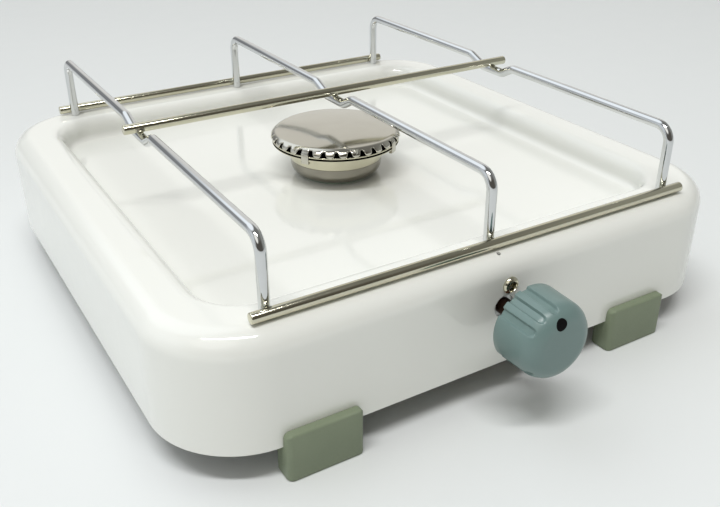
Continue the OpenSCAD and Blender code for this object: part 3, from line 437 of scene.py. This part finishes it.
# %% Sweep, mirror and bridge them
bm = bmesh.new()
quarter(bm, wall_line(bm), 43)
quarter(bm, tray_line(bm), 50)
for axis in ("X", "Y"):
    bmesh.ops.mirror(bm, geom=bm.verts[:] + bm.edges[:] + bm.faces[:], axis=axis, merge_dist=0.001)
bmesh.ops.remove_doubles(bm, verts=bm.verts, dist=0.001)
open_edges = [e for e in bm.edges if e.is_boundary]
floor_edges = [e for e in open_edges if abs(e.verts[0].co.z - tray_z) < 0.01]
bmesh.ops.bridge_loops(bm, edges=[e for e in open_edges if min(v.co.z for v in e.verts) > rim - 0.01])
neck = bmesh.ops.create_circle(bm, segments=len(floor_edges), radius=10.3,
                               matrix=Matrix.Translation((0, 0, tray_z)))["verts"]
bmesh.ops.bridge_loops(bm, edges=floor_edges + edges_at(neck))
face_outwards(bm)
casing = finished(bm, "enamelled_casing", "stove", enamel, ["casing"])

# %% Give the sheet its thickness and its holes
sheet = casing.modifiers.new("sheet", "SOLIDIFY")
sheet.thickness = 0.001
sheet.offset = -1
sheet.use_even_offset = True
settle(casing)
tap_z, screw_x, screw_z, pipe_x = 48, 2.5, 58.4, 96
bm = bmesh.new()
rod_cutter(bm, (0, -half_d, tap_z), across, 5.6, 8)
rod_cutter(bm, (screw_x, -half_d, screw_z), across, 2.3, 8, 32)
rod_cutter(bm, (0, 6.8 - half_d, rim), upward, 1.0, 14, 24)
rod_cutter(bm, (pipe_x, half_d, tap_z), across, 5.8, 8)
carve(casing, bm)
print("casing after drilling:", len(casing.data.polygons), "faces")

# %% [markdown]
# ## The feet
# Each foot is a moulded block that clips over the wall's bottom edge: a tall lip in front, a slot
# for the sheet and a lower lip behind. Its side view says everything, so that outline becomes one
# face, is extruded to the foot's width, and only the edges a hand would feel are rounded.

# %% Mould the four feet
foot_w, foot_h, heel_h = 37, 24, 22
toe_y, heel_y, slot_front, slot_back, slot_z = -4.7, 8.2, -0.1, 1.1, 16.5


def outer(edge):
    """Whether an edge is an upright one on the front or the back, or an upper corner in front."""
    a, b = (v.co for v in edge.verts)
    flush = any(max(abs(a.y - y), abs(b.y - y)) < 0.001 for y in (toe_y, heel_y))
    upright = abs(a.z - b.z) > 1 and flush
    top_corner = min(a.z, b.z) > foot_h - 0.1 and abs(a.x - b.x) < 0.1
    return upright or top_corner


def corners_of(bm, inside):
    """The sharp edges whose two ends both pass a test."""
    return [e for e in bm.edges if all(inside(v.co) for v in e.verts) and e.calc_face_angle(0) > 0.7]


def foot(name, node, middle, rear):
    """One foot, turned round for the rear wall."""
    bm = bmesh.new()
    outline = ((toe_y, 0), (heel_y, 0), (heel_y, heel_h), (slot_back, heel_h), (slot_back, slot_z),
               (slot_front, slot_z), (slot_front, foot_h), (toe_y, foot_h))
    side = bm.faces.new([bm.verts.new((-foot_w / 2, y, z)) for y, z in outline])
    bulk = bmesh.ops.extrude_face_region(bm, geom=[side])["geom"]
    bmesh.ops.translate(bm, vec=Vector((foot_w, 0, 0)), verts=only(bmesh.types.BMVert, bulk))
    bmesh.ops.recalc_face_normals(bm, faces=bm.faces)
    ease(bm, [e for e in bm.edges if outer(e)], 2.9, 6)
    ease(bm, corners_of(bm, lambda co: co.y < toe_y + 0.01 and co.z > 20), 1.2, 4)
    ease(bm, corners_of(bm, lambda co: co.z < 0.01), 0.9, 3)
    if rear:
        turn_about_z(bm, math.pi)
    bmesh.ops.translate(bm, vec=Vector((middle, half_d if rear else -half_d, 0)), verts=bm.verts)
    piece = finished(bm, name, "stove", foot_plastic, [node], 40)
    soft = piece.modifiers.new("edges", "BEVEL")
    soft.width = 0.0004
    soft.segments = 2
    soft.limit_method = "ANGLE"
    soft.angle_limit = math.radians(40)


for side, foot_x in (("left", -95.5), ("right", 87.5)):
    foot("foot_front_" + side, "front_" + side + "_foot", foot_x, False)
    foot("foot_rear_" + side, "rear_" + side + "_foot", foot_x, True)

# %% [markdown]
# ## The pan support
# Three wires are bent from straight stock and three rods are welded across them. A bending machine
# feeds the wire, bends it, feeds it again, and that is how the mesh grows too: a ring of edges is
# run forward and turned about the bend's centre. A curve with a round bevel would be quicker, but
# the runs and bends here have the lengths that a maker would set.

# %% Write the wire bender
stock_r, leg_y = 2.5, -139
wire_x = {"left": -112, "middle": 0, "right": 112}


def ease_ends(bm, ends):
    """Rounds the edges of the cut ends of a wire or rod."""
    ease(bm, list(dict.fromkeys(e for f in ends for e in f.edges)), 0.6, 3)


def bent_wire(name, node, x, moves):
    """Feeds and bends a wire in the plane at x, from the foot of its front leg."""
    bm = bmesh.new()
    spot, heading = Vector((x, leg_y, rim)), 90.0
    ring = bmesh.ops.create_circle(bm, segments=24, radius=stock_r, matrix=Matrix.Translation(spot))["verts"]
    ring = ring + edges_at(ring)
    for kind, amount, bend_r in moves:
        ahead = Vector((0, math.cos(math.radians(heading)), math.sin(math.radians(heading))))
        if kind == "feed":
            ring = run(bm, ring, ahead * amount)
            spot = spot + ahead * amount
            continue
        inner = Vector((0, -ahead.z, ahead.y)) * math.copysign(bend_r, amount)
        ring = turn(bm, ring, spot + inner, (1, 0, 0), amount, max(5, round(abs(amount) / 7)))
        heading += amount
        spot = spot + inner - Matrix.Rotation(math.radians(amount), 3, "X") @ inner
    ends = bmesh.ops.holes_fill(bm, edges=[e for e in bm.edges if e.is_boundary], sides=0)["faces"]
    bmesh.ops.recalc_face_normals(bm, faces=bm.faces)
    ease_ends(bm, ends)
    print(name, "ends at", [round(v, 2) for v in spot])
    return finished(bm, name, "grid", chrome, [node])

# %% Bend the three wires
leg, shoulder_r, kink_r = 26.5, 8, 7
dip, dip_front, dip_rear, dip_floor = 4.7, 9, 12, 19
front_slope = math.degrees(math.atan2(dip, dip_front))
rear_slope = math.degrees(math.atan2(dip, dip_rear))
nip_f = kink_r * math.tan(math.radians(front_slope / 2))
nip_r = kink_r * math.tan(math.radians(rear_slope / 2))
shape = [
    ("feed", leg, 0), ("bend", -90, shoulder_r), ("feed", 112 - nip_f, 0),
    ("bend", -front_slope, kink_r), ("feed", math.hypot(dip_front, dip) - 2 * nip_f, 0),
    ("bend", front_slope, kink_r), ("feed", dip_floor - nip_f - nip_r, 0),
    ("bend", rear_slope, kink_r), ("feed", math.hypot(dip_rear, dip) - 2 * nip_r, 0),
    ("bend", -rear_slope, kink_r), ("feed", 110 - nip_r, 0), ("bend", -90, shoulder_r), ("feed", leg, 0),
]
for side, x in wire_x.items():
    bent_wire("wire_" + side, "grid_wire_" + side, x, shape)

# %% Weld the rods across
def rod(name, node, y, z):
    """A straight rod with eased ends, and the flattened beads of its three welds."""
    bm = bmesh.new()
    along = Matrix.Translation((0, y, z)) @ Matrix.Rotation(math.pi / 2, 4, "Y")
    bmesh.ops.create_cone(bm, cap_ends=True, segments=24, radius1=stock_r, radius2=stock_r, depth=241,
                          matrix=along)
    ease_ends(bm, [f for f in bm.faces if len(f.verts) > 4])
    bead_l, bead_w, bead_t = 2.1, 1.6, 0.75
    if y == 0:
        toward, flat = Vector((0, 0, -1)), Matrix.Diagonal((bead_l, bead_w, bead_t, 1))
    else:
        toward, flat = Vector((0, -math.copysign(1, y), 0)), Matrix.Diagonal((bead_l, bead_t, bead_w, 1))
    for x in wire_x.values():
        seat = Matrix.Translation(Vector((x, y, z)) + toward * 2.35)
        bmesh.ops.create_uvsphere(bm, u_segments=16, v_segments=10, radius=1, matrix=seat @ flat)
    return finished(bm, name, "grid", rod_chrome, [node])


rod("rod_front", "grid_rod_front", -143.7, 75.9)
rod("rod_middle", "grid_rod_middle", 0, 107.5)
rod("rod_rear", "grid_rod_rear", 143.7, 75.9)

# %% [markdown]
# ## The burner
# The cap is a pressed steel dome whose rounded edge is cut into teeth, and the flames come out
# between them. Four places carry longer tabs, bent under the cup to hold both together. One tooth
# and one tab are cut flat and bent round, as the press would do it, then copied round by spinning
# duplicates, and the dome is spun on top with as many steps as the teeth have columns.

# %% Write the press that cuts and bends
places, cap_r, edge_r, edge_z = 32, 36.7, 4.5, 81.6
notch_foot, notch_top = 81.6, 85.1
pitch = 2 * math.pi / places
half_place = cap_r * pitch / 2


def cut_blank(bm, outline, rounded=(), radius=0.0):
    """A flat outline with some corners rounded, sliced so that it can bend."""
    old = set(bm.verts)
    corners = [bm.verts.new((x, 0, z)) for x, z in outline]
    bm.faces.new(corners)
    if rounded:
        ease(bm, [corners[i] for i in rounded], radius, 4, "VERTICES")
    for k in range(1, 8):
        column, row = (half_place * (k / 4 - 1), 0, 0), (0, 0, 81.3 + k * 0.45)
        for spot, way in ((column, (1, 0, 0)), (row, upward)):
            part = [v for v in bm.verts if v not in old]
            part += edges_at(part) + list(dict.fromkeys(f for v in part for f in v.link_faces))
            bmesh.ops.bisect_plane(bm, geom=part, dist=1e-5, plane_co=Vector(spot), plane_no=Vector(way))
    return [v for v in bm.verts if v not in old]


def bend_round(verts, bulge):
    """Bends flat metal onto the cap's skirt and over its edge, with a slight belly in each tooth."""
    for v in verts:
        over = max(0.0, v.co.z - edge_z)
        out = cap_r - edge_r + math.sqrt(edge_r ** 2 - over * over)
        belly = math.sin(math.pi * max(0, notch_top - v.co.z) / (notch_top - notch_foot))
        out += bulge * belly * (1 - (v.co.x / half_place) ** 2)
        angle = v.co.x / cap_r
        v.co = (out * math.cos(angle), out * math.sin(angle), v.co.z)


def copy_round(bm, angle, steps):
    """Copies everything round the burner's axis."""
    bmesh.ops.spin(bm, geom=bm.verts[:] + bm.edges[:] + bm.faces[:], cent=Vector(), axis=Vector(upward),
                   angle=angle, steps=steps, use_duplicate=True)


print("teeth at", places, "places,", round(2 * half_place, 2), "mm apart")

# %% Cut the teeth and the tabs and copy them round
shoulder, tip_half, tab_half, tab_foot = 0.6, 1.4, 2.1, 77.9
hem_r, hem_l = 0.9, 1.4
bm = bmesh.new()
tooth = cut_blank(bm, ((-half_place, notch_top), (shoulder - half_place, notch_top), (-tip_half, notch_foot),
                       (tip_half, notch_foot), (half_place - shoulder, notch_top), (half_place, notch_top)),
                  (2, 3), 1.1)
bend_round(tooth, 0.35)
turn_about_z(bm, pitch)
copy_round(bm, 6 * pitch, 6)
tab = cut_blank(bm, ((-half_place, notch_top), (-tab_half, notch_top), (-tab_half, tab_foot),
                     (tab_half, tab_foot), (tab_half, notch_top), (half_place, notch_top)))
bend_round(tab, 0.0)
hem = [v for v in tab if v.co.z < tab_foot + 0.05]
hem += [e for e in edges_at(hem) if all(v.co.z < tab_foot + 0.05 for v in e.verts)]
hem = turn(bm, hem, (cap_r - hem_r, 0, tab_foot), across, 90, 5)
run(bm, hem, (-hem_l, 0, 0.15))
copy_round(bm, 1.5 * math.pi, 3)
print("skirt has", len(bm.faces), "faces")

# %% Spin the dome on top
dome_r = 250
rise = notch_top - edge_z
start = cap_r - edge_r + math.sqrt(edge_r ** 2 - rise ** 2)
lean = math.degrees(math.asin((cap_r - edge_r) / (dome_r - edge_r)))
old = set(bm.edges)
tip = [bm.verts.new((start, 0, notch_top))]
edge_turn = lean + math.degrees(math.asin(rise / edge_r)) - 90
tip = turn(bm, tip, (cap_r - edge_r, 0, edge_z), across, edge_turn, 8)
dome_z = edge_z - (dome_r - edge_r) * math.cos(math.radians(lean))
turn(bm, tip, (0, 0, dome_z), across, -lean, 16)
arch = [e for e in bm.edges if e not in old]
arch += list(dict.fromkeys(v for e in arch for v in e.verts))
bmesh.ops.spin(bm, geom=arch, cent=Vector(), axis=Vector(upward), angle=2 * math.pi, steps=8 * places,
               use_merge=True)
bmesh.ops.remove_doubles(bm, verts=bm.verts, dist=0.02)
face_outwards(bm)
turn_about_z(bm, math.radians(33))
cap = finished(bm, "burner_dome", "stove", burner_steel, ["burner_cap"], 50)
wall = cap.modifiers.new("sheet", "SOLIDIFY")
wall.thickness = 0.0008
wall.offset = -1

# %% [markdown]
# ## Turned pieces
# The cup, the seal, the knob and the screw are round about one axis. A lathe needs only half of the
# section: the outline becomes a face so that its corners can be rounded by a vertex bevel, the face
# is dropped, and its edges are spun once round. The cup's flange is folded back at its rim, and the
# fold stays open; that gap, painted near black inside as shade, is the dark line under the teeth.

# %% Write the lathe
def lathe(bm, outline, rounded=None, steps=96):
    """Spins an outline of (radius, height) points about Z; corners with a radius are rounded first."""
    corners = [bm.verts.new((r, 0, z)) for r, z in outline]
    bm.faces.new(corners)
    for i, radius in (rounded or {}).items():
        ease(bm, [corners[i]], radius, 4 + round(radius), "VERTICES")
    bmesh.ops.delete(bm, geom=bm.faces[:], context="FACES_ONLY")
    on_axis = [e for e in bm.edges if max(v.co.x for v in e.verts) < 0.001]
    bmesh.ops.delete(bm, geom=on_axis, context="EDGES_FACES")
    bmesh.ops.spin(bm, geom=bm.verts[:] + bm.edges[:], cent=Vector(), axis=Vector(upward),
                   angle=2 * math.pi, steps=steps, use_merge=True)
    bmesh.ops.remove_doubles(bm, verts=bm.verts, dist=0.001)
    bmesh.ops.recalc_face_normals(bm, faces=bm.faces)

# %% Spin the cup and the seal
neck_r, flange_r, fold_r = 10.3, 36.2, 33.7
bm = bmesh.new()
lathe(bm, ((neck_r, 61), (26, 61), (26.2, 70.1), (26.6, 70.5), (27.4, 79.3), (flange_r, 79.3),
           (flange_r, 79.8), (fold_r, 79.8), (fold_r, 80.8), (flange_r, 80.8), (flange_r, 81.6),
           (26.6, 81.6), (25.8, 70.5), (25.4, 70.1), (25.2, 61.8), (neck_r, 61.8)),
      {1: 6.2, 14: 5.4, 3: 0.3, 5: 0.15, 9: 0.15, 10: 0.25}, 128)
finished(bm, "burner_bowl", "stove", cup_steel, ["burner_cup"], 25)
bm = bmesh.new()
lathe(bm, ((neck_r, 60), (20.4, 60), (20.4, 61), (neck_r, 61)), {2: 0.3})
finished(bm, "burner_gasket", "stove", seal_fibre, ["burner_seal"])

# %% [markdown]
# ## The knob
# The knob is a hollow moulding: a slightly domed front, a big rounding, and three groups of three
# grip grooves that keep their depth over the rounding. Straight cutters would run out there, so the
# knob is spun in fine steps and its surface is pressed in along its own normal, as if a round tool
# with a flat end had followed it. The dot is a pin in a hole, cut flush with the same outline.

# %% Draw and spin the knob
knob_l, knob_round, knob_gap = 24, 8.4, 15
flat_r, side_r, flare = 10, 18.4, 0.4
side_l = 15.6


def knob_front():
    """The knob's outer line: a faint dome in front, the big rounding and the tapered side."""
    points = [(r, knob_l - r * r / 424) for r in (0, 3, 6, 8.5)]
    for angle in (0, *range(6, 15, 3), *(15 + 1.5 * k for k in range(18)), *range(42, 91, 4)):
        lean = math.radians(90 - angle)
        sunk = 0.24 * (1 - angle / 90)
        points.append((flat_r + knob_round * math.cos(lean), side_l + knob_round * math.sin(lean) - sunk))
    return points + [(side_r + flare * (side_l - z) / side_l, z) for z in (side_l, 12, 8, 4, 0.4)]


hollow = [(18.5, 0), (16.1, 0), (15.8, 0.3), (15.8, 18), (7, 18), (7, 0.3), (6.7, 0), (4.1, 0),
          (4.1, 17), (0, 17)]
bm = bmesh.new()
lathe(bm, knob_front() + hollow, steps=600)
print("knob spun with", len(bm.faces), "faces")

# %% Press its grooves in
first_groove, groove_step, group_step = 11.2, 22.6, 120
groove_half, groove_wall, groove_in, groove_end = 2.25, 0.85, 1.35, 18.4


def groove_depth(aside, past):
    """How deep a flat tool with a rounded rim goes, beside its path and past its end."""
    off = math.hypot(aside, max(0.0, past))
    rise = min(1.0, max(0.0, (groove_half - off) / groove_wall))
    return groove_in * rise * rise * (3 - 2 * rise)


grooves = [math.radians(first_groove + groove_step * i + group_step * g) for g in range(3) for i in range(3)]
for v in bm.verts:
    out, around = math.hypot(v.co.x, v.co.y), math.atan2(v.co.y, v.co.x) - math.pi / 2
    if out < 16.2:
        continue
    off = min((math.remainder(around - angle, 2 * math.pi) for angle in grooves), key=abs)
    deep = groove_depth(out * off, v.co.z - groove_end) if abs(off) < 0.2 else 0.0
    lean = max(0.0, v.co.z - side_l) / knob_round
    shrink = 1 - deep * math.sqrt(1 - lean * lean) / out
    v.co = (v.co.x * shrink, v.co.y * shrink, v.co.z - deep * lean)
quarter_about_x = Matrix.Rotation(math.pi / 2, 4, "X")
upright = Matrix.Translation((0, -knob_gap - half_d, tap_z)) @ quarter_about_x
bmesh.ops.transform(bm, matrix=upright, verts=bm.verts)
knob = finished(bm, "knob_moulding", "knob", knob_plastic, ["knob"], 40)

# %% Set the dot in its hole
dot_out, dot_r, dot_play = 12, 2.8, 0.05
aim = math.radians(first_groove)
dot = Vector((-dot_out * math.sin(aim), -190, tap_z + dot_out * math.cos(aim)))
bm = bmesh.new()
rod_cutter(bm, dot, across, dot_r + dot_play, 8, 64)
carve(knob, bm, degrees=40)
bm = bmesh.new()
rod_cutter(bm, dot, across, dot_r, 7, 64)
pin = finished(bm, "pointer_dot", "knob", dot_plastic, ["knob_dot"])
bm = bmesh.new()
lathe(bm, knob_front() + [(0, 0)], steps=240)
bmesh.ops.transform(bm, matrix=upright, verts=bm.verts)
carve(pin, bm, "INTERSECT")
print("dot keeps", len(pin.data.polygons), "faces, flush with the knob")

# %% [markdown]
# ## The fixing screw
# One screw holds the tap against the front wall. Its head is a rounded ring with a deep pit, which
# looks dark from the front, and the cross recess is sunk with two blades, one after the other,
# because a screw without a recess reads as a rivet.

# %% Turn the screw and sink its cross
shank_r, head_r = 2, 4.2
bm = bmesh.new()
lathe(bm, ((0, -8), (shank_r, -8), (shank_r, 0), (head_r, 0), (head_r, 0.7), (3.3, 2.0), (2.5, 2.2),
           (2.0, 1.2), (1.8, -1.2), (0, -1.6)), {4: 0.3, 5: 0.7, 6: 0.3}, 64)
to_front = Matrix.Translation((screw_x, -half_d, screw_z)) @ quarter_about_x
bmesh.ops.transform(bm, matrix=to_front, verts=bm.verts)
screw = finished(bm, "fixing_screw", "stove", rod_chrome, ["valve_screw"])
blade, cross_turn = Vector((4.2, 1.4, 5)), 0.4
for blade_turn in (cross_turn, cross_turn + math.pi / 2):
    bm = bmesh.new()
    bmesh.ops.create_cube(bm, size=1)
    bmesh.ops.scale(bm, vec=blade, verts=bm.verts)
    sink = Matrix.Translation((0, 0, 1.9)) @ Matrix.Rotation(blade_turn, 4, "Z")
    bmesh.ops.transform(bm, matrix=to_front @ sink, verts=bm.verts)
    carve(screw, bm)
print("screw keeps", len(screw.data.polygons), "faces")

# %% [markdown]
# ## The spindle's spring
# A spring behind the spindle's collar pushes the knob out again. It is wound like a screw thread: one
# ring of the wire is spun about the spindle and moved along at every step. One end belongs to the
# knob and the other to the plug.

# %% Wind the spring
low, high = (corner * 1000 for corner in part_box("spindle_spring"))
wire_r, turns, steps = 0.35, 4, 96
start, climb = low.y + wire_r, (high.y - low.y - 2 * wire_r) / steps
bm = bmesh.new()
ring = bmesh.ops.create_circle(bm, segments=10, radius=wire_r,
                               matrix=Matrix.Translation((high.x - wire_r, start, tap_z)))["verts"]
bmesh.ops.spin(bm, geom=ring + edges_at(ring), cent=Vector((0, start, tap_z)), axis=Vector(across),
               dvec=Vector((0, climb, 0)), angle=2 * math.pi * turns, steps=steps)
bmesh.ops.holes_fill(bm, edges=[e for e in bm.edges if e.is_boundary], sides=0)
bmesh.ops.recalc_face_normals(bm, faces=bm.faces)
spring = finished(bm, "spindle_coil", None, tube_steel, ["spindle_spring"])
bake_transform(spring)
print("spring from", round(low.y, 2), "to", round(high.y, 2), "mm")

# %% [markdown]
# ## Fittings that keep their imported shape
# The tap, tubes and nuts under the tray are right as they were built, so they only get their finish.

# %% Dress the remaining nodes
dress = {
    "burner_nut": brass, "burner_elbow": cast_alloy, "mixing_tube": tube_steel, "injector": brass,
    "valve_body": brass, "valve_plug": brass, "valve_cover": tube_steel, "valve_cover_screws": tube_steel,
    "spindle": shaded_brass, "gas_pipe": copper, "pipe_nut_front": brass, "pipe_nut_rear": brass,
    "pipe_olives": brass, "hose_nozzle": brass, "nozzle_locknut": brass, "nozzle_washer": tube_steel,
}
for node, skin in dress.items():
    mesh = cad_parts[node].data
    mesh.materials.clear()
    mesh.materials.append(skin)
print("dressed", len(dress), "packed nodes")

# %% [markdown]
# ## The studio
# The stove stands on a pale table in a soft daylit room. One long lamp overhead, a little to the
# front, gives the shadows their direction. The world does the rest as a room would: a window at the
# left and back, a pale patch behind that the steel mirrors, a dim ceiling with two brighter panels,
# and a warm, dim side toward the viewer.

# %% Lay the floor
bm = bmesh.new()
bmesh.ops.create_grid(bm, x_segments=1, y_segments=1, size=12)
table = object_of(bm, "table_top")
table.data.materials.append(finish("table_top", (0.77, 0.79, 0.785), (0.79, 0.81, 0.805), (0.5, 0.6), 1.5, 40,
                                   (0.0, 0.001)))
print("table is", round(table.dimensions.x, 1), "m wide")

# %% Write the room's colours
world = bpy.data.worlds.new("studio")
world.use_nodes = True
scene.world = world
tree = world.node_tree
ray = tree.nodes.new("ShaderNodeTexCoord").outputs["Generated"]
axes = tree.nodes.new("ShaderNodeSeparateXYZ")
tree.links.new(ray, axes.inputs["Vector"])


def blend_by(amount, start, end, first, second):
    """Mixes two room colours as a value of the looking direction goes from start to end."""
    between = tree.nodes.new("ShaderNodeMapRange")
    between.interpolation_type = "SMOOTHSTEP"
    between.inputs["From Min"].default_value = start
    between.inputs["From Max"].default_value = end
    tree.links.new(amount, between.inputs["Value"])
    return mixed(tree, between.outputs["Result"], first, second)


def facing(direction):
    """How nearly a looking direction agrees with a given one."""
    node = tree.nodes.new("ShaderNodeVectorMath")
    node.operation = "DOT_PRODUCT"
    node.inputs[1].default_value = Vector(direction).normalized()
    tree.links.new(ray, node.inputs[0])
    return node.outputs["Value"]


window, shade = (0.96, 1.01, 1.05), (0.32, 0.33, 0.34)
viewer_side, right_side = (0.13, 0.12, 0.105), (0.42, 0.43, 0.41)
pale_patch, ceiling = (1.0, 0.99, 0.95), (0.26, 0.26, 0.25)
cool_panel, warm_panel = (1.45, 1.53, 1.60), (1.45, 1.42, 1.34)
room = blend_by(axes.outputs["X"], -0.95, -0.4, window, shade)
room = blend_by(axes.outputs["Y"], -0.4, 0.15, viewer_side, room)
room = blend_by(axes.outputs["X"], 0.3, 0.9, room, right_side)
room = blend_by(facing((0.456, 0.756, 0.469)), 0.78, 0.93, room, pale_patch)
room = blend_by(axes.outputs["Z"], 0.55, 0.85, room, ceiling)
room = blend_by(facing((-0.25, 0.56, 0.79)), 0.84, 0.95, room, cool_panel)
room = blend_by(facing((-0.54, -0.40, 0.74)), 0.90, 0.97, room, warm_panel)
tree.links.new(room, tree.nodes["Background"].inputs["Color"])
tree.nodes["Background"].inputs["Strength"].default_value = 0.85
print("room has", len(tree.nodes), "nodes")

# %% Hang the lamp
lamp = bpy.data.objects.new("tube_lamp", bpy.data.lights.new("tube_lamp", "AREA"))
lamp.data.shape = "RECTANGLE"
lamp.data.size, lamp.data.size_y = 1.8, 0.26
lamp.data.energy = 42
lamp.location = (-0.61, -0.67, 2.5)
lamp.rotation_euler = (0, 0, math.radians(-31))
scene.collection.objects.link(lamp)
print("lamp hangs at", [round(v, 2) for v in lamp.location])

# %% [markdown]
# ## Sizes
# A box can be turned into plain lists of numbers.

# %% Write the box helper
def plain(box):
    """A box as plain lists of numbers."""
    return [[float(v) for v in corner] for corner in box]


bpy.context.view_layer.update()
